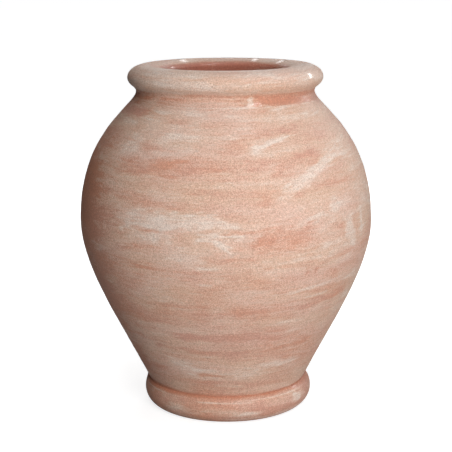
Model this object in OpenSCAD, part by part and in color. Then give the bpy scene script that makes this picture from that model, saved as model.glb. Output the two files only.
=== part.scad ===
// Handleless rolled-rim terracotta jar, built up from coiled clay courses.
// Millimetres, +Z up, origin at the centre of the ground plane under the foot.
// The wall's courses meet in V-shaped seams: a tongue on the lower course in a groove of the upper one.
// The base disc seats like a plug, and the rim roll is pressed over a tall raised edge on the neck.

/* [Jar] */
// Height from the ground to the top of the rim
jar_h = 600; // [585:5:640]
// Outer radius at the widest part of the belly
belly_r = 254; // [236:2:270]
// Height of the widest part of the belly
belly_z = 334; // [320:2:350]
// Thickness of the wall
wall_t = 24; // [18:1:27]

/* [Foot] */
// Outer radius of the foot ring
foot_r = 148.5; // [145:0.5:154]
// Radius of the foot ring's rounded lower edge
foot_round = 28; // [20:1:30]
// Outer radius in the groove above the foot ring
groove_r = 139; // [134:1:141]
// Height of the groove above the foot ring
groove_z = 49.5; // [46:0.5:54]
// Width of the ring that stands on the ground
stand_w = 31; // [24:1:40]

/* [Base] */
// Thickness of the base disc
base_t = 24; // [18:1:26]
// Height of the base disc's underside above the ground
base_lift = 5; // [3:1:8]
// Radius of the drain hole in the base disc
drain_r = 12; // [8:1:16]

/* [Wall curve] */
// Radius gained per unit of height where the wall leaves the foot
wall_lean = 0.49; // [0.42:0.01:0.56]
// Height over which the wall keeps that lean
lean_h = 112; // [90:2:130]
// Length of the upright stretch below the widest part
belly_under = 80; // [60:2:100]
// Length of the upright stretch above the widest part
belly_over = 166; // [150:2:174]

/* [Neck and rim] */
// Outer radius of the neck where it meets the rim roll
neck_r = 157; // [152:1:162]
// Inner radius of the neck
neck_in_r = 128; // [124:1:130]
// Distance from the top of the rim down to the seam under the roll
neck_drop = 39; // [36:1:42]
// Length of the neck's outward flare
neck_flare = 24; // [18:1:28]
// Radius from the jar's axis to the middle of the rim roll
roll_r = 137.5; // [136:0.5:140]
// Half width of the rim roll
roll_half_w = 31.5; // [29:0.5:34]
// Half height of the outer side of the rim roll
roll_half_h = 21; // [19:0.5:22]
// Depth of the rounding on the mouth side of the rim roll
mouth_round = 13; // [9:1:15]

/* [Seams] */
// Height of the tongue in each seam of the wall
tongue_h = 6; // [2:1:8]
// Height of the neck's raised edge, over which the rim roll is pressed down
neck_edge_h = 20; // [12:1:24]
// Share of the wall's thickness that the tongue takes
tongue_share = 0.5; // [0.3:0.05:0.7]

/* [Hidden] */

// Straight steps that stand for each curved stretch of a section
course_steps = 6;
roll_steps = 14;
corner_steps = 5;

neck_z = jar_h - neck_drop;
roll_z = jar_h - roll_half_h;
mouth_r = roll_r - roll_half_w;
base_top = base_lift + base_t;
stand_out_r = foot_r - foot_round;
stand_in_r = stand_out_r - stand_w;
// The base disc's edge widens upwards by this much, so that it seats in the foot ring like a plug
disc_flare = 8;
disc_top_r = stand_in_r + disc_flare;
// Outward and upward reach of the hollow corner between the base disc and the wall's inner face
corner_out = 7;
corner_up = 14;
// Half width and height of the foot ring's rounded upper edge, and how far round it goes, in degrees
foot_top_w = 12;
foot_top_h = groove_z - foot_round + 0.5;
foot_top_end = 76;
// Outward slope of the neck as it meets the rim roll, radius gained per unit of height
neck_lean = 0.89;
// Where the roll's outer curve leaves the neck, in degrees round the roll from its outermost point
roll_start = -45;
// Height of the upright lip inside the mouth
lip_h = 12;
// How far the curve under the lip runs on upright at each of its ends
lip_bend = 9;
// How much lower the inner end of the seam under the roll lies than its outer end
neck_seam_drop = 6;
// How far the neck's inner face runs on straight at its lower and upper end
neck_in_low = 14;
neck_in_high = 12;

// Seams sit at these places along the wall: 0 at the foot, 1 at the belly, 2 at the neck
seam_at = [0, 0.25, 0.5, 0.75, 1.04, 1.2, 1.37, 1.55, 1.75, 2];

// Control points of the lower wall curve, foot to belly, and the upper one, belly to neck
lower_curve = [
    [groove_r, groove_z],
    [groove_r + wall_lean * lean_h, groove_z + lean_h],
    [belly_r, belly_z - belly_under],
    [belly_r, belly_z]
];
upper_curve = [
    [belly_r, belly_z],
    [belly_r, belly_z + belly_over],
    [neck_r - neck_lean * neck_flare, neck_z - neck_flare],
    [neck_r, neck_z]
];

// A point on a cubic curve through its control points c, and the direction there
function curve(c, t) =
    pow(1 - t, 3) * c[0] + 3 * pow(1 - t, 2) * t * c[1] + 3 * (1 - t) * t * t * c[2] + pow(t, 3) * c[3];
function heading(c, t) =
    pow(1 - t, 2) * (c[1] - c[0]) + 2 * (1 - t) * t * (c[2] - c[1]) + t * t * (c[3] - c[2]);

// The wall's outer face, its upward direction and its inner face at place u
function outer(u) = u <= 1 ? curve(lower_curve, u) : curve(upper_curve, u - 1);
function along(u) =
    let (d = u <= 1 ? heading(lower_curve, u) : heading(upper_curve, u - 1))
    d / norm(d);
function inner(u) = outer(u) + wall_t * [-along(u)[1], along(u)[0]];
function places(from, to) = [for (i = [0:course_steps]) from + (to - from) * i / course_steps];

// The tongue's three corners in a seam from outer point a to inner point b, raised towards up
function tongue(a, b, up) = [
    a + (b - a) * (0.5 - tongue_share / 2),
    (a + b) / 2 + tongue_h * up,
    a + (b - a) * (0.5 + tongue_share / 2)
];
function seam(i) =
    let (u = seam_at[i])
    tongue(outer(u), inner(u), along(u));
function turned(list) = [for (i = [len(list) - 1:-1:0]) list[i]];

// Section of the wall course between seams i and i + 1
function course_section(i) = concat(
    [for (u = places(seam_at[i], seam_at[i + 1])) outer(u)],
    seam(i + 1),
    [for (u = turned(places(seam_at[i], seam_at[i + 1]))) inner(u)],
    turned(seam(i))
);

// The neck's raised edge inside the roll, from the outer end of the seam under the roll to its inner end
neck_top_out = [neck_r, neck_z];
neck_top_in = [neck_in_r, neck_z - neck_seam_drop];
neck_edge = [
    neck_top_out + (neck_top_in - neck_top_out) * 0.25,
    neck_top_out + (neck_top_in - neck_top_out) * 0.35 + [0, neck_edge_h],
    neck_top_out + (neck_top_in - neck_top_out) * 0.65 + [0, neck_edge_h],
    neck_top_out + (neck_top_in - neck_top_out) * 0.75
];

// The curve of the neck's inner face, from the shoulder up to the seam under the roll
neck_in_curve = [
    inner(seam_at[8]),
    inner(seam_at[8]) + neck_in_low * along(seam_at[8]),
    neck_top_in - [0, neck_in_high],
    neck_top_in
];

module revolve(section) {
    rotate_extrude($fn = 96) polygon(section);
}

module course(i) {
    revolve(course_section(i));
}

module base_disc() {
    color([0.72, 0.46, 0.36])
    difference() {
        revolve([[0, base_lift], [stand_in_r, base_lift], [disc_top_r, base_top], [0, base_top]]);
        translate([0, 0, base_lift - 1]) cylinder(r = drain_r, h = base_t + 2, $fn = 64);
    }
}

module foot_ring() {
    lower_edge = [
        for (i = [0:corner_steps])
        let (a = -90 + 90 * i / corner_steps)
        [stand_out_r + foot_round * cos(a), foot_round + foot_round * sin(a)]
    ];
    upper_edge = [
        for (i = [1:corner_steps])
        let (a = foot_top_end * i / corner_steps)
        [foot_r - foot_top_w + foot_top_w * cos(a), foot_round + foot_top_h * sin(a)]
    ];
    // Hollow of the inside corner, from the wall's inner face down to the top of the base disc
    inside_corner = [
        inner(0),
        inner(0) - corner_up * along(0),
        [disc_top_r + corner_out, base_top],
        [disc_top_r, base_top]
    ];
    color([0.76, 0.53, 0.43])
    revolve(concat(
        [[stand_in_r, 0]],
        lower_edge,
        upper_edge,
        [outer(0)],
        seam(0),
        [for (i = [0:corner_steps]) curve(inside_corner, i / corner_steps)],
        [[stand_in_r, base_lift]]
    ));
}

module lower_wall_course() {
    color([0.80, 0.62, 0.53]) course(0);
}

module middle_wall_course() {
    color([0.82, 0.65, 0.56]) course(1);
}

module upper_wall_course() {
    color([0.84, 0.68, 0.59]) course(2);
}

module belly_course() {
    color([0.86, 0.71, 0.63]) course(3);
}

module upper_belly_course() {
    color([0.87, 0.72, 0.64]) course(4);
}

module lower_shoulder_course() {
    color([0.88, 0.74, 0.66]) course(5);
}

module middle_shoulder_course() {
    color([0.87, 0.73, 0.65]) course(6);
}

module upper_shoulder_course() {
    color([0.86, 0.71, 0.62]) course(7);
}

module neck_collar() {
    color([0.80, 0.56, 0.45])
    revolve(concat(
        [for (u = places(seam_at[8], seam_at[9])) outer(u)],
        neck_edge,
        [for (i = [0:corner_steps]) curve(neck_in_curve, 1 - i / corner_steps)],
        turned(seam(8))
    ));
}

module rim_roll() {
    outer_side = [
        for (i = [0:roll_steps])
        let (a = roll_start + (90 - roll_start) * i / roll_steps)
        [roll_r + roll_half_w * cos(a), roll_z + roll_half_h * sin(a)]
    ];
    mouth_side = [
        for (i = [1:corner_steps + 1])
        let (a = 90 + 90 * i / (corner_steps + 1))
        [roll_r + roll_half_w * cos(a), jar_h - mouth_round + mouth_round * sin(a)]
    ];
    lip_end = [mouth_r, jar_h - mouth_round - lip_h];
    under_curve = [lip_end, lip_end - [0, lip_bend], neck_top_in + [0, lip_bend], neck_top_in];
    color([0.86, 0.70, 0.61])
    revolve(concat(
        [neck_top_out],
        outer_side,
        mouth_side,
        [for (i = [0:corner_steps]) curve(under_curve, i / corner_steps)],
        turned(neck_edge)
    ));
}

base_disc();
foot_ring();
lower_wall_course();
middle_wall_course();
upper_wall_course();
belly_course();
upper_belly_course();
lower_shoulder_course();
middle_shoulder_course();
upper_shoulder_course();
neck_collar();
rim_roll();
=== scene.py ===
"""Looks of the rolled-rim terracotta jar: every clay course as its own hand-finished mesh, a brushed pale
wash over bare clay, and a soft studio round it. Metres and radians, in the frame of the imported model.
The tables of strokes are in millimetres and degrees, and the lights' angles are in degrees."""

import math

import bpy
import numpy as np
from mathutils import Matrix, Quaternion, Vector


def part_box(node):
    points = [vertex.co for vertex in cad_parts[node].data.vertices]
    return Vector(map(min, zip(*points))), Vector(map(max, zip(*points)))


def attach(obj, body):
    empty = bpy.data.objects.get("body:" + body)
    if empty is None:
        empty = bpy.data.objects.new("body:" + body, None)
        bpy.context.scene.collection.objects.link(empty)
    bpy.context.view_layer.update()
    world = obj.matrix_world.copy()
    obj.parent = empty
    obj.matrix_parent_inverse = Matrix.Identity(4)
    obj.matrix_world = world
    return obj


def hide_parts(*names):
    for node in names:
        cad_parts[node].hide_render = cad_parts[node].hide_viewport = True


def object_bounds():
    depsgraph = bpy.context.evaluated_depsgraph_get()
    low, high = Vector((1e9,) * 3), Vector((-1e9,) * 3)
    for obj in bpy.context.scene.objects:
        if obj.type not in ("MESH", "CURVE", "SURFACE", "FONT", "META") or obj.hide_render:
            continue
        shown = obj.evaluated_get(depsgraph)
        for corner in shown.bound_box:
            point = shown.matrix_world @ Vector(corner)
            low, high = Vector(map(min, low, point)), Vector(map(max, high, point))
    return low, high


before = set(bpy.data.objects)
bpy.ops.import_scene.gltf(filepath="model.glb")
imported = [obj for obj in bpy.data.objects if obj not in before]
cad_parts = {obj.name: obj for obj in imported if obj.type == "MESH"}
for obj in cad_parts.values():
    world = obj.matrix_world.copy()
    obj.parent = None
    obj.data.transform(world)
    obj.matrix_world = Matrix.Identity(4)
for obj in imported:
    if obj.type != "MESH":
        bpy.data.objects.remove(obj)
cad_low, cad_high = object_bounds()

MM = 0.001
TURN = 2 * math.pi
SEGMENTS = 480  # vertices once round the jar
OUTER_STEP = 1.5 * MM  # distance between rings on the outer face
INNER_STEP = 3.5 * MM  # and on the inner face

# ---------------------------------------------------------------- the jar's section: radius and height
JAR_H = cad_high.z
BELLY_R = cad_high.x
FOOT_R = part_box("foot_ring")[1].x
RIM_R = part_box("rim_roll")[1].x
DISC_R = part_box("base_disc")[1].x
DISC_LOW, DISC_TOP = (corner.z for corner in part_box("base_disc"))

WALL = 24 * MM
FOOT_ROUND = 28 * MM
FOOT_TOP_W = 12 * MM
FOOT_TOP_END = math.radians(76)
STAND_IN_R = 89.5 * MM
DRAIN_R = 12 * MM
EDGE_ROUND = 2 * MM  # worn corners of the drain hole and of the foot's inner edge
TONGUE_H = 6 * MM
TONGUE_SHARE = 0.5
NECK_EDGE_H = 20 * MM
ROLL_HALF_W = 31.5 * MM
ROLL_HALF_H = 21 * MM
ROLL_START = math.radians(-45)
MOUTH_ROUND = 13 * MM
LIP_H = 12 * MM
LIP_BEND = 9 * MM

GROOVE = np.array([139 * MM, 49.5 * MM])
BELLY = np.array([BELLY_R, 334 * MM])
NECK = np.array([157 * MM, JAR_H - 39 * MM])
NECK_INSIDE = np.array([128 * MM, NECK[1] - 6 * MM])
ROLL = np.array([RIM_R - ROLL_HALF_W, JAR_H - ROLL_HALF_H])
LIP_END = np.array([ROLL[0] - ROLL_HALF_W, JAR_H - MOUTH_ROUND - LIP_H])
UP = np.array([0.0, 1.0])

LOWER_CURVE = np.array([GROOVE, GROOVE + 112 * MM * np.array([0.49, 1]), BELLY - 80 * MM * UP, BELLY])
UPPER_CURVE = np.array([BELLY, BELLY + 166 * MM * UP, NECK - 24 * MM * np.array([0.89, 1]), NECK])

# The courses from the foot up, and where their seams sit on the wall: 0 at the foot, 1 belly, 2 neck
COURSES = [
    "lower_wall_course", "middle_wall_course", "upper_wall_course", "belly_course",
    "upper_belly_course", "lower_shoulder_course", "middle_shoulder_course",
    "upper_shoulder_course", "neck_collar",
]
SEAM_AT = [0, 0.25, 0.5, 0.75, 1.04, 1.2, 1.37, 1.55, 1.75, 2]


def cubic(control, t):
    """Points of a cubic curve at places t from 0 to 1."""
    t = np.asarray(t, float)[:, None]
    a, b, c, d = control
    return (1 - t) ** 3 * a + 3 * (1 - t) ** 2 * t * b + 3 * (1 - t) * t**2 * c + t**3 * d


def cubic_heading(control, t):
    """The curve's direction at the same places."""
    t = np.asarray(t, float)[:, None]
    a, b, c, d = control
    way = (1 - t) ** 2 * (b - a) + 2 * (1 - t) * t * (c - b) + t**2 * (d - c)
    return way / np.linalg.norm(way, axis=1, keepdims=True)


def wall_outside(u):
    """The wall's outer points and upward directions at places u."""
    u = np.atleast_1d(u).astype(float)
    low = (u <= 1)[:, None]
    below, above = np.minimum(u, 1), np.maximum(u - 1, 0)
    points = np.where(low, cubic(LOWER_CURVE, below), cubic(UPPER_CURVE, above))
    heading = np.where(low, cubic_heading(LOWER_CURVE, below), cubic_heading(UPPER_CURVE, above))
    return points, heading


def wall_inside(u):
    """The wall's inner points at places u, one wall thickness in."""
    points, heading = wall_outside(u)
    return points + WALL * np.stack([-heading[:, 1], heading[:, 0]], axis=1)


def ellipse(centre, half_w, half_h, start, end):
    """Points round part of an ellipse, from angle start to angle end."""
    a = np.linspace(start, end, 90)
    return np.stack([centre[0] + half_w * np.cos(a), centre[1] + half_h * np.sin(a)], axis=1)


def spaced(points, step):
    """The same line, cut again into equal steps of about the given length."""
    reach = np.r_[0, np.cumsum(np.linalg.norm(np.diff(points, axis=0), axis=1))]
    even = np.linspace(0, reach[-1], max(2, round(reach[-1] / step) + 1))
    return np.stack([np.interp(even, reach, points[:, k]) for k in (0, 1)], axis=1)


def rounded(points, radius):
    """A line of straight stretches with its inner corners rounded off."""
    line = [points[0]]
    for before, corner, after in zip(points, points[1:], points[2:]):
        to_before = (before - corner) / np.linalg.norm(before - corner)
        to_after = (after - corner) / np.linalg.norm(after - corner)
        for t in np.linspace(0, 1, 6):
            start, end = corner + radius * to_before, corner + radius * to_after
            line.append((1 - t) ** 2 * start + 2 * t * (1 - t) * corner + t**2 * end)
    return np.array(line + [points[-1]])


def tongue(outer, inner, up):
    """The three corners of the tongue in a seam that runs from outer to inner."""
    return np.array([
        outer + (inner - outer) * (0.5 - TONGUE_SHARE / 2),
        (outer + inner) / 2 + TONGUE_H * up,
        outer + (inner - outer) * (0.5 + TONGUE_SHARE / 2),
    ])


def foot_outside():
    """The foot ring's outer face, from the ground up to the groove."""
    side = np.array([FOOT_R - FOOT_ROUND, FOOT_ROUND])
    lower = ellipse(side, FOOT_ROUND, FOOT_ROUND, -math.pi / 2, 0)
    middle = np.array([FOOT_R - FOOT_TOP_W, FOOT_ROUND])
    upper = ellipse(middle, FOOT_TOP_W, GROOVE[1] + 0.5 * MM - FOOT_ROUND, 0, FOOT_TOP_END)
    return np.vstack([lower, upper[1:], [GROOVE]])


def foot_inside():
    """The hollow corner between the wall's inner face and the top of the base disc."""
    start = wall_inside(0)[0]
    heading = wall_outside(0)[1][0]
    corner = [start, start - 14 * MM * heading, [DISC_R + 7 * MM, DISC_TOP], [DISC_R, DISC_TOP]]
    return cubic(np.array(corner), np.linspace(0, 1, 40))


def rim_outside():
    """The rolled rim, from the neck over the top and down to the neck's inner face."""
    outer = ellipse(ROLL, ROLL_HALF_W, ROLL_HALF_H, ROLL_START, math.pi / 2)
    mouth = ellipse([ROLL[0], JAR_H - MOUTH_ROUND], ROLL_HALF_W, MOUTH_ROUND, math.pi / 2, math.pi)
    under = cubic(
        np.array([LIP_END, LIP_END - LIP_BEND * UP, NECK_INSIDE + LIP_BEND * UP, NECK_INSIDE]),
        np.linspace(0, 1, 40),
    )
    return np.vstack([[NECK], outer, mouth[1:], under])


def neck_inside():
    """The neck's inner face, from the rim down to the shoulder."""
    low = wall_inside(SEAM_AT[8])[0]
    heading = wall_outside(SEAM_AT[8])[1][0]
    line = [NECK_INSIDE, NECK_INSIDE - 12 * MM * UP, low + 14 * MM * heading, low]
    return cubic(np.array(line), np.linspace(0, 1, 40))


def section_faces():
    """Every face of the section that shows, in one chain from the ground, over the rim, to the drain hole.
    Each is (node, side, points)."""
    chain = [("foot_ring", "outside", spaced(foot_outside(), OUTER_STEP))]
    for node, low, high in zip(COURSES, SEAM_AT, SEAM_AT[1:]):
        line = wall_outside(np.linspace(low, high, 200))[0]
        chain.append((node, "outside", spaced(line, OUTER_STEP)))
    chain.append(("rim_roll", "outside", spaced(rim_outside(), OUTER_STEP)))
    chain.append(("neck_collar", "inside", spaced(neck_inside(), INNER_STEP)))
    for node, low, high in reversed(list(zip(COURSES[:8], SEAM_AT, SEAM_AT[1:]))):
        line = wall_inside(np.linspace(high, low, 200))
        chain.append((node, "inside", spaced(line, INNER_STEP)))
    chain.append(("foot_ring", "inside", spaced(foot_inside(), INNER_STEP)))
    disc = rounded(np.array([[DISC_R, DISC_TOP], [DRAIN_R, DISC_TOP], [DRAIN_R, DISC_LOW],
                             [STAND_IN_R, DISC_LOW]]), EDGE_ROUND)
    chain.append(("base_disc", "inside", spaced(disc, INNER_STEP)))
    return chain


# ---------------------------------------------------------------- hand-made unevenness
def smooth(x):
    """0 below 0, 1 above 1, and an S-curve between."""
    x = np.clip(x, 0, 1)
    return x * x * (3 - 2 * x)


def field(angle, height, around, tall, seed):
    """Smooth random values from -1 to 1 that close up round the jar, in cells: around of them to a turn,
    each tall metres high."""
    rng = np.random.default_rng(seed)
    grid = rng.uniform(-1, 1, (int(2.4 / tall) + 4, around))
    across = (np.asarray(angle) / TURN % 1) * around
    upward = np.asarray(height) / tall + 1
    across, upward = np.broadcast_arrays(across, upward)
    i, j = np.floor(upward).astype(int), np.floor(across).astype(int)
    v, h = smooth(upward - i), smooth(across - j)
    j0, j1 = j % around, (j + 1) % around
    low = grid[i, j0] * (1 - h) + grid[i, j1] * h
    high = grid[i + 1, j0] * (1 - h) + grid[i + 1, j1] * h
    return low * (1 - v) + high * v


FOOT_SHIFT = 2.0 * MM  # the foot ring sits a little to one side of the wall's axis
OUT_OF_ROUND = 0.8 * MM
RIM_WAVE = 1.2 * MM
RIM_WAVE_LOW = 540 * MM  # the height where the rim's wave begins, and how much higher it is whole
RIM_WAVE_RISE = 50 * MM
RELIEF_MOST = 0.4 * MM  # room left for the turning marks inside the true size


def clear_of_axis(radius):
    """0 near the axis, where the drain hole stays round, and 1 further out."""
    return smooth(radius / (60 * MM) - 0.4)


def shaped(radius, height, angle):
    """Where a point of the true section lies on the hand-shaped jar: radius and height."""
    bulge = 0.7 * field(angle, height, 5, 0.24, 31) + 0.3 * field(angle, height, 11, 0.09, 32) - 1
    radius = radius + (OUT_OF_ROUND * bulge - RELIEF_MOST) * clear_of_axis(radius)
    below_groove = smooth((GROOVE[1] - height) / (10 * MM)) * clear_of_axis(radius)
    radius = radius + FOOT_SHIFT * np.cos(angle) * below_groove
    wave = 0.5 * field(angle, 0.0, 7, 0.2, 33) + 0.5 * field(angle, 0.0, 3, 0.2, 34) - 1
    at_rim = smooth((height - RIM_WAVE_LOW) / RIM_WAVE_RISE)
    return radius, height + (RIM_WAVE * 0.5 * wave - RELIEF_MOST) * at_rim


def turning_marks(angle, along):
    """Fine relief of the outer face: soft ridges from the hands, and flatter bands from the scraper."""
    marks = 0.20 * field(angle, along, 5, 19 * MM, 41)
    marks = marks + 0.13 * field(angle, along, 9, 8 * MM, 42)
    marks = marks + 0.07 * field(angle, along, 18, 3.5 * MM, 43)
    return marks * MM


# ---------------------------------------------------------------- meshes
def ring_quads(rows):
    """The faces between neighbouring rings, with the last ring joined to the first."""
    i = np.arange(rows)[:, None] * SEGMENTS
    i_next = np.roll(i, -1, axis=0)
    j = np.arange(SEGMENTS)[None, :]
    j_next = np.roll(j, -1, axis=1)
    return np.stack([i + j, i + j_next, i_next + j_next, i_next + j], axis=2).reshape(-1, 4)


def quad_mesh(name, points, quads):
    """A smooth-shaded mesh from its points and its four-sided faces."""
    mesh = bpy.data.meshes.new(name)
    mesh.vertices.add(points.size // 3)
    mesh.vertices.foreach_set("co", points.astype(np.float32).ravel())
    mesh.loops.add(quads.size)
    mesh.loops.foreach_set("vertex_index", quads.astype(np.int32).ravel())
    mesh.polygons.add(len(quads))
    mesh.polygons.foreach_set("loop_start", np.arange(0, quads.size, 4, dtype=np.int32))
    mesh.update(calc_edges=True)
    mesh.polygons.foreach_set("use_smooth", np.ones(len(quads), bool))
    return mesh


def mark_corners(mesh, rows):
    """Makes the given rings sharp."""
    ends = np.empty(len(mesh.edges) * 2, np.int32)
    mesh.edges.foreach_get("vertices", ends)
    ring = ends.reshape(-1, 2) // SEGMENTS
    corner = (ring[:, 0] == ring[:, 1]) & np.isin(ring[:, 0], list(rows))
    mesh.edges.foreach_set("use_edge_sharp", corner)


def revolve(name, section, sharp_rows, offsets, layers):
    """A closed ring-shaped solid: section is its closed outline, offsets moves each point of each ring
    (rows, segments, radius and height), sharp_rows are corners, layers are values stored on its points."""
    angle = np.arange(SEGMENTS) * TURN / SEGMENTS
    radius = section[:, :1] + offsets[..., 0]
    height = section[:, 1:] + offsets[..., 1]
    radius, height = shaped(radius, height, angle[None, :])
    points = np.stack([radius * np.cos(angle), radius * np.sin(angle), height], axis=2)
    mesh = quad_mesh(name, points, ring_quads(len(section)))
    mark_corners(mesh, sharp_rows)
    for layer, values in layers.items():
        stored = mesh.attributes.new(layer, "FLOAT", "POINT")
        stored.data.foreach_set("value", values.astype(np.float32).ravel())
    mesh.validate()
    piece = bpy.data.objects.new(name, mesh)
    bpy.context.scene.collection.objects.link(piece)
    return piece


# ---------------------------------------------------------------- the chain of faces as one unrolled sheet
CREASE_FADE = 4 * MM  # relief dies out this close to a crease
GROUND_FADE = 14 * MM
SEAM_HOLLOW = 0.22 * MM
SEAM_SPREAD = 5 * MM


class Sheet:
    """All the faces that show, in one line from the ground over the rim to the drain hole, unrolled:
    one row for each ring of vertices, one column for each angle."""

    def __init__(self, chain):
        self.spans = {}
        start = 0
        for node, side, points in chain:
            self.spans[node, side] = slice(start, start + len(points))
            start += len(points) - 1
        self.points = np.vstack([points[:-1] for _, _, points in chain] + [chain[-1][2][-1:]])
        steps = np.linalg.norm(np.diff(self.points, axis=0), axis=1)
        self.along = np.r_[0, np.cumsum(steps)]
        heading = np.gradient(self.points, self.along, axis=0)
        heading /= np.linalg.norm(heading, axis=1, keepdims=True)
        self.normals = np.stack([heading[:, 1], -heading[:, 0]], axis=1)
        self.angle = np.arange(SEGMENTS) * TURN / SEGMENTS
        self.radius, self.height = self.points.T
        self.rim_top = self.along[np.argmax(self.height)]

    def first(self, node, side):
        """How far along the line a face starts."""
        return self.along[self.spans[node, side].start]

    def last(self, node, side):
        """How far along the line a face ends."""
        return self.along[self.spans[node, side].stop - 1]

    def at_height(self, height):
        """How far along the line the outer face reaches a height."""
        outer = self.along <= self.rim_top
        return np.interp(height, self.height[outer], self.along[outer])

    def near(self, place, spread):
        """1 at a place along the line, fading to 0 on both sides of it. One value for each ring."""
        return np.exp(-((self.along - place) / spread) ** 2)[:, None]

    def between(self, low, high, soft):
        """1 between two places along the line, with soft ends. One value for each ring."""
        return (smooth((self.along - low) / soft + 0.5) * smooth((high - self.along) / soft + 0.5))[:, None]

    def noise(self, around, tall, seed):
        """Smooth random values from -1 to 1 over the sheet."""
        return field(self.angle[None, :], self.along[:, None], around, tall, seed)


sheet = Sheet(section_faces())
GROOVE_AT = sheet.last("foot_ring", "outside")
ROLL_AT = sheet.first("rim_roll", "outside")
LIP_AT = sheet.last("rim_roll", "outside")
FLOOR_AT = sheet.first("foot_ring", "inside")
SHOULDER_LINE = sheet.at_height(541 * MM)  # where the bare band of the neck begins


def front_angle(degrees):
    """The jar's angle of a place so many degrees right of the middle of its front."""
    return math.radians(degrees - 90)


# Pits that show on the front: degrees right of the middle, height, size
FRONT_PITS = [(-3, 91, 2.2), (-5, 63, 1.5), (17, 399, 1.5), (35, 283, 2.0)]


def dents():
    """Small knocks and pits in the outer face: (angle, along, size, depth)."""
    rng = np.random.default_rng(51)
    marks = []
    for _ in range(26):
        size = rng.uniform(3, 11) * MM
        angle, place = rng.uniform(0, TURN), rng.uniform(0.02, ROLL_AT)
        marks.append((angle, place, size, size * rng.uniform(0.03, 0.07)))
    for _ in range(40):
        size = rng.uniform(0.8, 1.8) * MM
        marks.append((rng.uniform(0, TURN), rng.uniform(0.02, sheet.rim_top), size, 0.5 * size))
    for degrees, height, size in FRONT_PITS:
        marks.append((front_angle(degrees), sheet.at_height(height * MM), size * MM, 0.5 * size * MM))
    return marks


def relief():
    """How far each point of the sheet is pushed out along its normal."""
    outside = sheet.between(0, LIP_AT - 20 * MM, 30 * MM)
    pushed = outside * turning_marks(sheet.angle[None, :], sheet.along[:, None])
    pushed += (1 - outside) * 0.40 * MM * sheet.noise(4, 17 * MM, 44)
    pushed += (1 - outside) * 0.15 * MM * sheet.noise(7, 6 * MM, 45)
    broken = 0.6 + 0.4 * sheet.noise(7, 60 * MM, 46)
    for node in COURSES[1:]:
        for side, end in (("outside", sheet.first), ("inside", sheet.last)):
            pushed -= SEAM_HOLLOW * broken * sheet.near(end(node, side), SEAM_SPREAD)
    for angle, place, size, depth in dents():
        away = (sheet.angle - angle + math.pi) % TURN - math.pi
        radius = np.interp(place, sheet.along, sheet.radius)
        pushed -= depth * np.exp(-((away * radius / size) ** 2)) * sheet.near(place, size)
    for crease in (GROOVE_AT, ROLL_AT, LIP_AT, FLOOR_AT, sheet.along[-1]):
        pushed *= smooth(np.abs(sheet.along - crease) / CREASE_FADE)[:, None]
    return pushed * smooth(sheet.along / GROUND_FADE)[:, None]


# ---------------------------------------------------------------- the brushed wash
def patchy(x, y, rng):
    """Smooth random values from 0 to 1, one cell to each unit of x and y."""
    x, y = x - x.min(), y - y.min()
    i, j = x.astype(int), y.astype(int)
    grid = rng.random((i.max() + 2, j.max() + 2))
    h, v = smooth(x - i), smooth(y - j)
    near = grid[i, j] * (1 - h) + grid[i + 1, j] * h
    far = grid[i, j + 1] * (1 - h) + grid[i + 1, j + 1] * h
    return near * (1 - v) + far * v


def brush(wash, angle, place, length, width, rise, bend, amount, rng):
    """One stroke of the brush: a positive amount lays wash on, a negative one rubs it off.
    rise is its slope and bend its curve."""
    reach = abs(rise) * length / 2 + abs(bend) * length**2 / 4 + width
    rows = np.flatnonzero(np.abs(sheet.along - place) < reach)
    radius = np.interp(place, sheet.along, sheet.radius)
    away = (sheet.angle - angle + math.pi) % TURN - math.pi
    columns = np.flatnonzero(np.abs(away) * radius < 0.6 * length)
    if not len(rows) or not len(columns):
        return
    s = radius * away[columns][None, :]
    t = sheet.along[rows][:, None] - place - rise * s - bend * s**2
    s, t = np.broadcast_arrays(s, t)
    bristles = patchy(s / (45 * MM), t / (1.9 * MM), rng)
    ragged = patchy(s / (11 * MM), t / (3.5 * MM), rng) - 0.5
    ends = smooth((length / 2 - np.abs(s)) / (0.3 * length) + 0.7 * ragged)
    sides = smooth((width / 2 - np.abs(t)) / (0.4 * width) + 0.8 * ragged)
    cover = np.clip(abs(amount) * ends * sides * (0.6 + 0.8 * bristles), 0, 1)
    spot = np.ix_(rows, columns)
    wash[spot] += cover * ((amount > 0) - wash[spot])


def loose_strokes(wash, count, seed, low, high, length, width, amount):
    """Strokes strewn over a stretch of the sheet, mostly level."""
    rng = np.random.default_rng(seed)
    for _ in range(count):
        angle = rng.uniform(0, TURN)
        place = rng.uniform(low, high)
        size = rng.uniform(*length) * MM, rng.uniform(*width) * MM
        rise = rng.normal(0.03 + 0.08 * math.cos(angle), 0.06)
        bend = rng.normal(0, 0.25)
        brush(wash, angle, place, *size, rise, bend, rng.uniform(*amount), rng)


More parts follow.
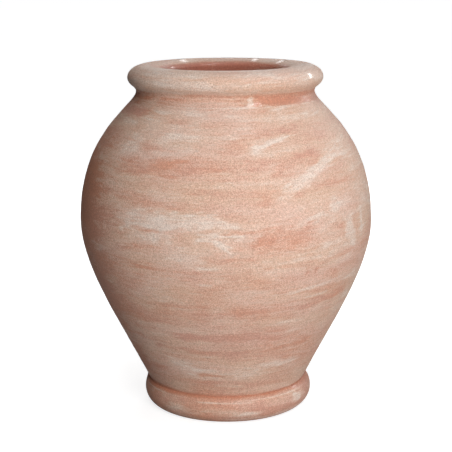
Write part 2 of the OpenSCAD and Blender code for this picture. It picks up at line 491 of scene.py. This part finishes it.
# Strokes that stand out on the front: degrees right of the middle, height, length, width in millimetres,
# slope, curve, amount. Then the bare streaks and rubbed places between them.
BOLD_STROKES = [
    (21, 490, 105, 16, 0.34, 0, 0.85), (14, 480, 30, 16, 0.5, 0, 0.60),
    (42, 450, 200, 24, 0.36, 0, 0.60), (29, 424, 100, 28, 0.40, 0, 0.55),
    (58, 478, 120, 26, 0.25, 0, 0.45), (40, 524, 80, 14, 0.06, 0, 0.60),
    (34, 538, 70, 7, 0.10, 0, 0.60), (-38, 531, 42, 8, 0.0, 6, 0.90),
    (-46, 478, 60, 34, 0.3, 0, 0.55), (-22, 474, 80, 12, 0.05, 0, 0.45),
    (-12, 500, 150, 12, 0.0, 0, 0.40), (2, 497, 60, 8, -0.03, 0, 0.40),
    (-24, 371, 240, 48, 0.01, 0, 0.70), (-30, 348, 120, 40, 0.0, 0, 0.40),
    (-2, 371, 70, 18, 0.0, 0, 0.55), (-22, 376, 90, 22, 0, 0, 0.4),
    (70, 380, 110, 90, 0.0, 0, 0.35), (72, 250, 110, 90, 0.0, 0, 0.30),
    (66, 470, 90, 70, 0.2, 0, 0.35),
    (32, 368, 90, 20, 0.22, 0, 0.80), (50, 392, 70, 30, 0.2, 0, 0.45),
    (-2, 338, 44, 17, -0.45, -8, 0.85), (-8, 345, 46, 12, 0.1, 0, 0.5),
    (-42, 352, 14, 10, 0.0, 0, 0.85), (-27, 343, 30, 24, -0.3, 0, 0.45),
    (-7, 298, 44, 6, 0.0, 0, 0.60), (-8, 269, 32, 7, -0.05, 0, 0.60),
    (-24, 277, 66, 8, -0.04, 0, 0.45), (26, 305, 120, 9, 0.05, 0, 0.40),
    (2, 350, 160, 26, 0.02, 0, 0.50), (-18, 312, 120, 22, 0.0, 0, 0.15),
    (38, 322, 120, 10, 0.16, 0, 0.40), (36, 254, 190, 9, 0.12, 0, 0.50),
    (40, 238, 60, 6, 0.06, 0, 0.45), (26, 194, 120, 16, 0.05, 0, 0.30),
    (-8, 162, 170, 14, 0.03, 0, 0.20), (-34, 170, 90, 20, 0.0, 0, 0.35),
    (0, 212, 44, 16, 0.1, 0, 0.40), (30, 112, 120, 22, 0.08, 0, 0.50),
    (-26, 112, 70, 26, -0.25, 0, 0.55), (-12, 104, 60, 10, 0.05, 0, 0.50),
    (2, 72, 70, 7, -0.05, 0, 0.45),
    (-20, 462, 50, 8, 0.12, 0, -0.80), (-34, 450, 150, 38, 0.0, 0, -0.60),
    (-18, 450, 260, 110, 0.0, 0, -0.22),
    (-8, 452, 110, 14, -0.02, 0, -0.40), (0, 417, 170, 16, 0.0, 0, -0.30),
    (30, 462, 110, 28, 0.3, 0, -0.45), (32, 507, 60, 11, 0.1, 0, -0.40),
    (-26, 520, 70, 14, 0.0, 0, -0.35), (10, 520, 90, 9, 0.0, 0, -0.30),
    (6, 357, 80, 9, 0.05, 0, -0.55), (22, 346, 150, 60, 0.1, 0, -0.50),
    (-30, 356, 60, 9, 0.0, 0, -0.35), (-20, 291, 180, 11, -0.02, 0, -0.55),
    (32, 286, 10, 22, 0, 0, -0.60), (36, 284, 8, 16, 0, 0, -0.60),
    (46, 300, 130, 12, 0.16, 0, -0.30), (44, 226, 180, 22, 0.12, 0, -0.45),
    (8, 216, 120, 26, 0.02, 0, -0.40), (-12, 214, 130, 20, 0.0, 0, -0.35),
    (34, 146, 130, 12, 0.12, 0, -0.60), (-6, 140, 170, 14, 0.0, 0, -0.40),
    (0, 170, 210, 26, 0.02, 0, -0.60), (4, 314, 130, 18, 0, 0, -0.3),
    (-30, 145, 80, 12, 0.0, 0, -0.40), (-10, 94, 62, 11, 0.02, 0, -0.85),
    # The last rub below, at -82 degrees, is painted shade: it bares the far left, the side away from the
    # lights.
    (0, 92, 34, 9, 0.0, 0, -0.60), (-82, 350, 220, 420, 0, 0, -0.40),
]
# Soft upright smears on both sides of the belly: degrees, height, width, length, amount
SMEARS = [
    (53, 342, 36, 64, 0.95), (56, 328, 24, 44, 0.80), (63, 352, 12, 56, 0.75), (45, 386, 36, 32, 0.60),
    (80, 354, 18, 60, 0.60), (-52, 352, 12, 34, 0.30), (-27, 340, 9, 34, 0.35),
]
# The foot's own patches, painted light and shade among them: degrees, height, length, width, amount
FOOT_PATCHES_WITH_PAINTED_LIGHT_AND_SHADE = [
    # The long low patch at 5 degrees and 9 mm is painted light: it lightens the foot's lower edge as light
    # from the floor would.
    (55, 33, 32, 22, 0.9), (71, 30, 30, 30, -0.9), (5, 9, 240, 14, 0.25),
    (14, 20, 60, 13, 0.65), (30, 14, 46, 12, -0.7),
    (-6, 26, 80, 10, 0.40), (-38, 26, 60, 12, 0.45), (-20, 14, 60, 9, -0.5), (2, 40, 110, 4, 0.50),
    # The rub at -64 degrees is painted shade: it bares the foot's left, the side away from the lights.
    (-12, 40, 80, 3, 0.45), (62, 12, 40, 10, 0.4), (-64, 26, 140, 50, -0.95),
]
# The neck's: a bare orange stretch on the right, streaks on the left, and two pale marks that are a painted
# highlight
NECK_PATCHES_AND_HIGHLIGHT = [
    (42, 551, 110, 15, -0.95), (50, 549, 260, 24, -0.9), (78, 551, 70, 20, -0.7),
    (-34, 553, 60, 7, -0.5), (-62, 551, 60, 16, -0.7),
    (-4, 549, 110, 6, 0.35), (8, 555, 80, 4, 0.35), (-22, 545, 60, 4, 0.4),
    # Painted highlight: these two pale marks stand in for the shine on the neck and under the roll.
    (15, 553, 13, 22, 0.85), (18, 568, 24, 12, 0.7),
]


def beside(degrees, spread):
    """1 at an angle right of the middle of the front, fading to 0 on both sides of it."""
    away = (sheet.angle - front_angle(degrees) + math.pi) % TURN - math.pi
    return np.exp(-((away / math.radians(spread)) ** 2))


def shaded_side():
    """Painted shade on the far left of the wall, the side away from the lights: the wash is taken off there
    and the clay is made a darker, stronger orange.
    """
    return sheet.between(sheet.at_height(60 * MM), sheet.at_height(450 * MM), 0.1) * beside(-78, 26)


def painted_shade_left_strokes(wash):
    """Painted shade: rubs the wash off the far left of the wall in ragged level strokes, one above the
    other, so that the side away from the lights shows darker bare clay.
    """
    rng = np.random.default_rng(83)
    for height in range(150, 550, 18):
        angle = front_angle(rng.uniform(-96, -74))
        length, width = rng.uniform(130, 270) * MM, rng.uniform(16, 34) * MM
        rise = rng.uniform(-0.05, 0.05)
        brush(wash, angle, sheet.at_height(height * MM), length, width, rise, 0, rng.uniform(-1, -0.5), rng)


def painted():
    """How much wash lies on each point of the sheet, from 0 for bare clay to 1, with less on the far left
    as painted shade.
    """
    wash = 0.46 + 0.16 * sheet.noise(5, 60 * MM, 61) + 0.12 * sheet.noise(9, 24 * MM, 62)
    wash += 0.06 * sheet.noise(17, 9 * MM, 63)
    top = LIP_AT - 25 * MM
    loose_strokes(wash, 170, 64, 0.05, top, (60, 260), (10, 34), (0.08, 0.30))
    loose_strokes(wash, 170, 65, 0.05, top, (50, 220), (8, 26), (-0.30, -0.08))
    loose_strokes(wash, 260, 66, 0.0, top, (16, 80), (3, 9), (0.12, 0.40))
    loose_strokes(wash, 160, 67, 0.0, top, (16, 70), (3, 8), (-0.35, -0.10))
    loose_strokes(wash, 90, 81, ROLL_AT, sheet.rim_top, (25, 120), (1.6, 4), (-0.75, -0.25))
    rng = np.random.default_rng(68)
    for degrees, height, length, width, rise, bend, amount in BOLD_STROKES:
        place = sheet.at_height(height * MM)
        brush(wash, front_angle(degrees), place, length * MM, width * MM, rise, bend, amount, rng)
    for degrees, height, width, length, amount in SMEARS:
        place = sheet.at_height(height * MM)
        brush(wash, front_angle(degrees), place, width * MM, length * MM, 0, 0, amount, rng)
    # Painted shade: the far left loses most of its wash, so the side away from the lights shows darker
    # clay.
    painted_shade_left_strokes(wash)
    return wash - 0.45 * shaded_side()


def neck_band():
    """The neck between the shoulder and the roll, with a soft, uneven lower edge."""
    uneven = 5 * MM * sheet.noise(6, 0.1, 76)
    return (
        smooth((sheet.along[:, None] - SHOULDER_LINE + uneven) / (9 * MM) + 0.3)
        * smooth((ROLL_AT + 1 * MM - sheet.along) / (2 * MM))[:, None]
    )


def groove_band():
    """The groove above the foot, with the upper part of the foot ring just below it."""
    uneven = 3 * MM * sheet.noise(7, 0.1, 77)
    below = smooth((sheet.along[:, None] - GROOVE_AT + 11 * MM + uneven) / (9 * MM))
    above = smooth((GROOVE_AT + 8 * MM + uneven - sheet.along[:, None]) / (8 * MM))
    return below * above


def bare_bands(wash):
    """The neck, the groove, the foot and the mouth keep less of the wash than the wall, the roll more."""
    wash *= 1 - neck_band() * (0.45 + 0.35 * sheet.noise(9, 8 * MM, 71))
    line = sheet.near(SHOULDER_LINE, 1.1 * MM) * smooth(0.6 + 1.4 * sheet.noise(7, 0.1, 72))
    wash += 0.80 * line * (1 - wash)
    wash *= 1 - 0.95 * groove_band()
    roll = sheet.between(ROLL_AT + 2 * MM, sheet.rim_top + 8 * MM, 4 * MM)
    wash += roll * (0.40 + 0.2 * sheet.noise(5, 9 * MM, 80)) * (1 - wash)
    foot = smooth((GROOVE_AT - sheet.along) / (8 * MM))[:, None]
    wash *= 1 - foot * (0.30 + 0.25 * sheet.noise(7, 15 * MM, 79))
    wash += foot * 0.30 * sheet.noise(8, 12 * MM, 82)
    rng = np.random.default_rng(85)
    # These patches hold painted light and shade on the foot, and a painted highlight on the neck.
    for degrees, height, length, width, amount in FOOT_PATCHES_WITH_PAINTED_LIGHT_AND_SHADE + NECK_PATCHES_AND_HIGHLIGHT:
        place = sheet.at_height(height * MM)
        brush(wash, front_angle(degrees), place, length * MM, width * MM, 0, 0, amount, rng)
    # Painted highlight: a pale line along the upper edge of the foot ring.
    edge = sheet.near(GROOVE_AT - 9 * MM, 1.3 * MM) * smooth(0.5 + 1.2 * sheet.noise(7, 0.1, 73))
    wash += 0.6 * edge * (1 - wash)
    mouth = sheet.along[:, None] - sheet.rim_top - 17 * MM + 3 * MM * sheet.noise(15, 0.1, 74)
    return np.clip(wash * (1 - 0.9 * smooth(mouth / (14 * MM))), 0, 1)


def fired_inside():
    """0 on the outer face and 1 inside, where the clay is bare and redder."""
    return smooth((sheet.along - sheet.rim_top - 22 * MM) / (12 * MM))[:, None] * np.ones(SEGMENTS)


def orange_and_painted_shade():
    """Where the clay is a strong, darker orange: the neck; the groove above the foot, with painted shade in
    its crease; and the wall's far left, as painted shade.
    """
    round_neck = 0.45 + 0.3 * sheet.noise(4, 0.1, 75) + 0.5 * beside(46, 30) + 0.35 * beside(-50, 24)
    # The groove goes in at full strength: bare orange clay, with painted shade darkening its crease.
    return np.clip(neck_band() * round_neck + groove_band() + 0.9 * shaded_side(), 0, 1)


# Spots of sealer on the lip: degrees right of the middle of the front, spread in degrees, strength.
# There is one more on the roll.
LIP_SHINE = [(154, 2.2, 1.0), (-142, 3, 0.9), (126, 2, 0.8)]
ROLL_SHINE_AT = sheet.at_height(587 * MM)


def sealed():
    """Where the clear sealer still shines: stretches of the neck, the roll and the lip, and the inside."""
    patches = 0.5 * sheet.noise(9, 8 * MM, 78)
    neck = neck_band() * (0.06 + 0.05 * patches + 0.45 * beside(15, 14))
    roll = sheet.between(ROLL_AT, sheet.rim_top, 5 * MM) * (0.03 + 0.03 * patches)
    roll = roll + 0.8 * sheet.near(ROLL_SHINE_AT, 4.5 * MM) * beside(57, 1.8)
    lip = sheet.between(sheet.rim_top, sheet.rim_top + 24 * MM, 6 * MM)
    lip = lip * (0.04 + sum(strength * beside(degrees, spread) for degrees, spread, strength in LIP_SHINE))
    inside = smooth((sheet.along - sheet.rim_top - 24 * MM) / (8 * MM))[:, None]
    return np.clip(neck + roll + lip + inside * 0.25 + groove_band() * 0.18 + 0.005, 0, 1)


# ---------------------------------------------------------------- the pieces
PUSHED = relief()
WASH = bare_bands(painted())
INSIDE = fired_inside()
# The orange layer holds strong orange clay, and painted shade on the far left and in the groove.
ORANGE_AND_SHADE = orange_and_painted_shade()
GLOSS = sealed()


def face_rows(node, side):
    """A face's outline, its offsets and its painted values, ring by ring."""
    rows = sheet.spans[node, side]
    offsets = PUSHED[rows, :, None] * sheet.normals[rows, None, :]
    return sheet.points[rows], offsets, tuple(layer[rows] for layer in (WASH, INSIDE, ORANGE_AND_SHADE, GLOSS))


def plain_rows(points):
    """Rings of a hidden face, such as a seam: no relief and bare clay."""
    points = np.asarray(points, float).reshape(-1, 2)
    blank = np.zeros((len(points), SEGMENTS))
    return points, np.zeros((len(points), SEGMENTS, 2)), (blank, blank + 1, blank, blank)


def make_piece(node, parts):
    """The mesh of one piece from the runs of its closed outline, with a corner at both ends of each run."""
    section = np.vstack([part[0] for part in parts])
    offsets = np.concatenate([part[1] for part in parts])
    layers = [np.concatenate([part[2][k] for part in parts]) for k in range(4)]
    sharp, start = set(), 0
    for part in parts:
        sharp |= {start, start + len(part[0]) - 1}
        start += len(part[0])
    # The orange layer also carries painted shade.
    named = dict(zip(("wash", "inside", "orange", "gloss"), layers))
    return revolve(node + "_clay", section, sharp, offsets, named)


def wall_tongue(u):
    """The tongue in the wall's seam at place u."""
    return tongue(wall_outside(u)[0][0], wall_inside(u)[0], wall_outside(u)[1][0])


def neck_edge():
    """The neck's raised edge inside the roll, from its outer foot to its inner one."""
    across = NECK_INSIDE - NECK
    lift = NECK_EDGE_H * UP
    return np.array([NECK + 0.25 * across, NECK + 0.35 * across + lift,
                     NECK + 0.65 * across + lift, NECK + 0.75 * across])


def foot_parts():
    """The foot ring: its outside, the wall's lowest seam, the hollow corner, and the standing ring."""
    ring = [[DISC_R, DISC_TOP], [STAND_IN_R, DISC_LOW], [STAND_IN_R, EDGE_ROUND],
            [STAND_IN_R + 0.3 * EDGE_ROUND, 0.3 * EDGE_ROUND], [STAND_IN_R + EDGE_ROUND, 0]]
    return [
        face_rows("foot_ring", "outside"), plain_rows(wall_tongue(SEAM_AT[0])),
        face_rows("foot_ring", "inside"), plain_rows(ring[1:]),
    ]


def course_parts(index):
    """One course of the wall between its two seams."""
    node = COURSES[index]
    top = neck_edge() if node == "neck_collar" else wall_tongue(SEAM_AT[index + 1])
    return [
        face_rows(node, "outside"), plain_rows(top),
        face_rows(node, "inside"), plain_rows(wall_tongue(SEAM_AT[index])[::-1]),
    ]


def make_jar():
    """Every piece of the jar, by node."""
    pieces = {"foot_ring": make_piece("foot_ring", foot_parts())}
    for index, node in enumerate(COURSES):
        pieces[node] = make_piece(node, course_parts(index))
    roll = [face_rows("rim_roll", "outside"), plain_rows(neck_edge()[::-1])]
    pieces["rim_roll"] = make_piece("rim_roll", roll)
    pieces["base_disc"] = make_piece("base_disc", [face_rows("base_disc", "inside")])
    return pieces


# ---------------------------------------------------------------- materials
class Nodes:
    """Short calls for building one material's nodes."""

    def __init__(self, name):
        self.material = bpy.data.materials.new(name)
        self.material.use_nodes = True
        self.tree = self.material.node_tree
        self.shader = self.tree.nodes["Principled BSDF"]
        self.place = self.tree.nodes.new("ShaderNodeTexCoord").outputs["Object"]

    def put(self, socket, value):
        """Links or sets one input."""
        if isinstance(value, bpy.types.NodeSocket):
            self.tree.links.new(value, socket)
        else:
            socket.default_value = value

    def layer(self, name):
        """A value painted on the mesh."""
        node = self.tree.nodes.new("ShaderNodeAttribute")
        node.attribute_name = name
        return node.outputs["Fac"]

    def stretched(self, scale):
        """The place, scaled by a different amount along each axis."""
        node = self.tree.nodes.new("ShaderNodeMapping")
        self.put(node.inputs["Vector"], self.place)
        node.inputs["Scale"].default_value = scale
        return node.outputs["Vector"]

    def noise(self, scale, detail=3.0, roughness=0.55, distortion=0.0):
        """Random values round 0.5, with scale cells to the metre along x, y and z."""
        node = self.tree.nodes.new("ShaderNodeTexNoise")
        self.put(node.inputs["Vector"], self.stretched(scale))
        node.inputs["Scale"].default_value = 1.0
        node.inputs["Detail"].default_value = detail
        node.inputs["Roughness"].default_value = roughness
        node.inputs["Distortion"].default_value = distortion
        return node.outputs["Fac"]

    def math(self, operation, a, b=0.0, c=0.0):
        """One sum."""
        node = self.tree.nodes.new("ShaderNodeMath")
        node.operation = operation
        for socket, value in zip(node.inputs, (a, b, c)):
            self.put(socket, value)
        return node.outputs[0]

    def swing(self, value, amount):
        """A value round 0.5, turned into one round 0 of the given size."""
        return self.math("MULTIPLY_ADD", value, amount, -amount / 2)

    def ramp(self, value, low, high, start=0.0, end=1.0):
        """start below low, end above high, and an S-curve between."""
        node = self.tree.nodes.new("ShaderNodeMapRange")
        node.interpolation_type = "SMOOTHSTEP"
        for name, number in (("From Min", low), ("From Max", high), ("To Min", start), ("To Max", end)):
            node.inputs[name].default_value = number
        self.put(node.inputs["Value"], value)
        return node.outputs["Result"]

    def mix(self, share, a, b, blend="MIX"):
        """Two colours mixed."""
        node = self.tree.nodes.new("ShaderNodeMix")
        node.data_type = "RGBA"
        node.blend_type = blend
        self.put(node.inputs[0], share)
        for socket, value in ((node.inputs[6], a), (node.inputs[7], b)):
            self.put(socket, (*value, 1.0) if isinstance(value, tuple) else value)
        return node.outputs[2]


CLAY_ORANGE = (0.590, 0.295, 0.200)
CLAY_PINK = (0.560, 0.300, 0.225)
# Strong orange of the neck, darkened a little as painted shade for the groove's crease, and used on the far
# left as painted shade.
CLAY_STRONG_AND_SHADE = (0.530, 0.228, 0.140)
CLAY_INSIDE = (0.480, 0.170, 0.112)
WASH_CREAM = (0.640, 0.430, 0.320)
WASH_PINK = (0.665, 0.450, 0.360)
WASH_THICK = (0.715, 0.585, 0.505)
PIT_RED = (0.200, 0.070, 0.045)
DULL = 0.62  # the clay's roughness, and how much rougher the wash is
WASH_DULLER = 0.10
BUMP_DEPTH = 0.25 * MM  # of the sandy grain
BUMP_STRENGTH = 0.35


def clay_colour(n):
    """Bare clay: orange and pink areas, stronger in the neck band, darker and stronger in the groove and on
    the wall's far left as painted shade, redder inside.
    """
    areas = n.ramp(n.noise((7, 7, 11), 3), 0.35, 0.65)
    colour = n.mix(areas, CLAY_ORANGE, CLAY_PINK)
    # The orange layer darkens the groove and the far left as painted shade.
    colour = n.mix(n.layer("orange"), colour, CLAY_STRONG_AND_SHADE)
    return n.mix(n.layer("inside"), colour, CLAY_INSIDE)


def wash_share(n, grain):
    """How much of the pale wash shows: the painted strokes, broken up by brush hairs and sandy clay."""
    clouds = n.noise((17, 17, 42), 4, 0.6, 0.6)
    streaks = n.noise((11, 11, 85), 4, 0.6)
    hairs = n.noise((36, 36, 380), 3, 0.6)
    share = n.math("ADD", n.layer("wash"), n.swing(clouds, 0.75))
    share = n.math("ADD", share, n.swing(streaks, 0.40))
    share = n.math("ADD", share, n.swing(hairs, 0.65))
    return n.math("ADD", share, n.swing(grain, 0.95))


def pits(n):
    """Small dark pits, in a few of the cells of a loose pattern."""
    cells = n.tree.nodes.new("ShaderNodeTexVoronoi")
    n.put(cells.inputs["Vector"], n.place)
    cells.inputs["Scale"].default_value = 95
    near = n.ramp(cells.outputs["Distance"], 0.05, 0.15, 1.0, 0.0)
    picked = n.tree.nodes.new("ShaderNodeSeparateColor")
    n.put(picked.inputs["Color"], cells.outputs["Color"])
    return n.math("MULTIPLY", near, n.ramp(picked.outputs[0], 0.90, 0.94))


def washed_clay_colour(n, share, grain, speckle):
    """Bare clay, thin wash over it, and thick wash where the brush left most, with a sandy speckle."""
    tint = n.ramp(n.noise((6, 6, 20), 2), 0.35, 0.7)
    colour = n.mix(n.ramp(share, 0.05, 0.62), clay_colour(n), n.mix(tint, WASH_CREAM, WASH_PINK))
    colour = n.mix(n.ramp(share, 0.55, 1.0), colour, WASH_THICK)
    shade = n.math("ADD", n.swing(grain, 1.00), n.swing(speckle, 0.62))
    shade = n.math("ADD", shade, 1.0)
    grey = n.tree.nodes.new("ShaderNodeCombineColor")
    for socket in grey.inputs[:3]:
        n.put(socket, shade)
    return n.mix(1.0, colour, grey.outputs[0], "MULTIPLY")


def clay_material(name, coat_roughness):
    """Sandy clay under a brushed wash, with pits, and a thin clear sealer where it was left glossy."""
    n = Nodes(name)
    grain = n.noise((620, 620, 620), 2, 0.6)
    speckle = n.noise((260, 260, 340), 3, 0.75)
    share = wash_share(n, grain)
    hole = pits(n)
    colour = washed_clay_colour(n, share, grain, speckle)
    colour = n.mix(n.math("MULTIPLY", hole, 0.6), colour, PIT_RED)
    n.put(n.shader.inputs["Base Color"], colour)
    dull = n.math("MULTIPLY_ADD", share, WASH_DULLER, DULL)
    dull = n.math("ADD", dull, n.swing(speckle, 0.16))
    n.put(n.shader.inputs["Roughness"], dull)
    n.shader.inputs["IOR"].default_value = 1.5
    n.put(n.shader.inputs["Coat Weight"], n.layer("gloss"))
    n.shader.inputs["Coat Roughness"].default_value = coat_roughness
    bump = n.tree.nodes.new("ShaderNodeBump")
    height = n.math("ADD", n.swing(grain, 1.0), n.math("MULTIPLY", share, 0.35))
    height = n.math("SUBTRACT", height, hole)
    n.put(bump.inputs["Height"], height)
    bump.inputs["Strength"].default_value = BUMP_STRENGTH
    bump.inputs["Distance"].default_value = BUMP_DEPTH
    n.put(n.shader.inputs["Normal"], bump.outputs["Normal"])
    return n.material


# ---------------------------------------------------------------- studio
AIM = Vector((0, 0, 0.33))  # where every light points
FLOOR_GLOW = 0.80  # how bright the floor looks beside the jar; it reaches 1 further out
FLOOR_GREY = (0.50, 0.50, 0.50)
FLOOR_HALF = 40.0
FLOOR_DROP = 0.2 * MM
FILL = 0.01  # the even light from all sides
CAMERA_AT = (0, -2.249, 0.7853)
CAMERA_DOWN = 0.2058
CAMERA_ROLL = math.radians(-0.3)
LENS_MM = 104.41
FILM_MM = 36


def floor_material():
    """A plain grey floor, which also glows for the camera so that it looks pale to the horizon."""
    n = Nodes("studio_floor")
    n.shader.inputs["Base Color"].default_value = (*FLOOR_GREY, 1)
    n.shader.inputs["Roughness"].default_value = 0.9
    n.shader.inputs["Emission Color"].default_value = (1, 1, 1, 1)
    away = n.tree.nodes.new("ShaderNodeVectorMath")
    away.operation = "LENGTH"
    n.put(away.inputs[0], n.place)
    glow = n.ramp(away.outputs["Value"], 0.15, 0.9, FLOOR_GLOW, 1.0)
    seen = n.tree.nodes.new("ShaderNodeLightPath").outputs["Is Camera Ray"]
    n.put(n.shader.inputs["Emission Strength"], n.math("MULTIPLY", seen, glow))
    return n.material


def make_floor():
    """The floor, a hair below the foot."""
    mesh = bpy.data.meshes.new("studio_floor")
    corners = [(-1, -1), (1, -1), (1, 1), (-1, 1)]
    points = [(x * FLOOR_HALF, y * FLOOR_HALF, -FLOOR_DROP) for x, y in corners]
    mesh.from_pydata(points, [], [(0, 1, 2, 3)])
    mesh.materials.append(floor_material())
    floor = bpy.data.objects.new("studio_floor", mesh)
    bpy.context.scene.collection.objects.link(floor)


def make_world():
    """A white surround for the camera, and a weak even light for everything else."""
    world = bpy.data.worlds.new("studio")
    bpy.context.scene.world = world
    world.use_nodes = True
    tree = world.node_tree
    background = tree.nodes["Background"]
    background.inputs["Color"].default_value = (1, 1, 1, 1)
    seen = tree.nodes.new("ShaderNodeLightPath").outputs["Is Camera Ray"]
    power = tree.nodes.new("ShaderNodeMapRange")
    power.inputs["To Min"].default_value = FILL
    power.inputs["To Max"].default_value = 1.0
    tree.links.new(seen, power.inputs["Value"])
    tree.links.new(power.outputs["Result"], background.inputs["Strength"])


def softbox(name, azimuth, elevation, distance, width, height, power, lean=0):
    """An area light, so many degrees right of the camera's side and above the floor, aimed at the jar.
    lean turns it in its own plane, clockwise as seen from behind it."""
    turn, lift = math.radians(azimuth), math.radians(elevation)
    away = Vector((math.sin(turn) * math.cos(lift), -math.cos(turn) * math.cos(lift), math.sin(lift)))
    data = bpy.data.lights.new(name, "AREA")
    data.shape = "RECTANGLE"
    data.size = width
    data.size_y = height
    data.energy = power
    light = bpy.data.objects.new(name, data)
    light.location = AIM + distance * away
    light.rotation_mode = "QUATERNION"
    spin = Quaternion((0, 0, 1), -math.radians(lean))
    light.rotation_quaternion = (-away).to_track_quat("-Z", "Y") @ spin
    bpy.context.scene.collection.objects.link(light)
    return light


def make_lights():
    """Soft light from the front, the right, behind and above, and three more lights that only make
    reflections. Each has its azimuth and elevation in degrees, distance, width, height and power."""
    soft = [
        softbox("front_right", 20, 8, 2.4, 0.9, 1.2, 36),
        softbox("front_left", -8, 38, 2.4, 0.7, 1.2, 16),
        softbox("side_right", 80, 10, 2.4, 0.9, 1.2, 8.5),
        softbox("rear_right", 118, 26, 2.4, 0.9, 1.2, 7),
        softbox("rear", 174, 14, 2.4, 0.9, 1.2, 18),
        softbox("overhead", 0, 85, 2.2, 1.4, 1.4, 11.5),
    ]
    for light in soft:
        light.visible_glossy = False
    strips = [
        softbox("strip_neck", 47, 62, 2.3, 0.28, 1.6, 22),
        softbox("strip_rim", 125, 24, 2.3, 0.3, 1.3, 22, 46),
        softbox("strip_lip", 180, 36, 2.3, 1.3, 1.1, 13),
    ]
    for light in strips:
        light.visible_diffuse = False


def make_camera():
    """The camera a little above the rim, looking down on the jar."""
    data = bpy.data.cameras.new("camera")
    data.lens = LENS_MM
    data.sensor_width = FILM_MM
    camera = bpy.data.objects.new("camera", data)
    camera.location = CAMERA_AT
    pitch = Matrix.Rotation(math.pi / 2 - CAMERA_DOWN, 3, "X")
    roll = Matrix.Rotation(CAMERA_ROLL, 3, "Z")
    camera.rotation_mode = "QUATERNION"
    camera.rotation_quaternion = (pitch @ roll).to_quaternion()
    bpy.context.scene.collection.objects.link(camera)
    bpy.context.scene.camera = camera


# ---------------------------------------------------------------- put together
BARE_NODES = {"base_disc", "foot_ring", "neck_collar"}

washed = clay_material("washed_terracotta", coat_roughness=0.16)
bare = clay_material("bare_terracotta", coat_roughness=0.14)
for node, piece in make_jar().items():
    is_bare = node in BARE_NODES
    piece.data.materials.append(bare if is_bare else washed)
    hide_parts(node)
    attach(piece, "root")

make_floor()
make_world()
make_lights()
make_camera()
bpy.context.scene.view_settings.view_transform = "Standard"
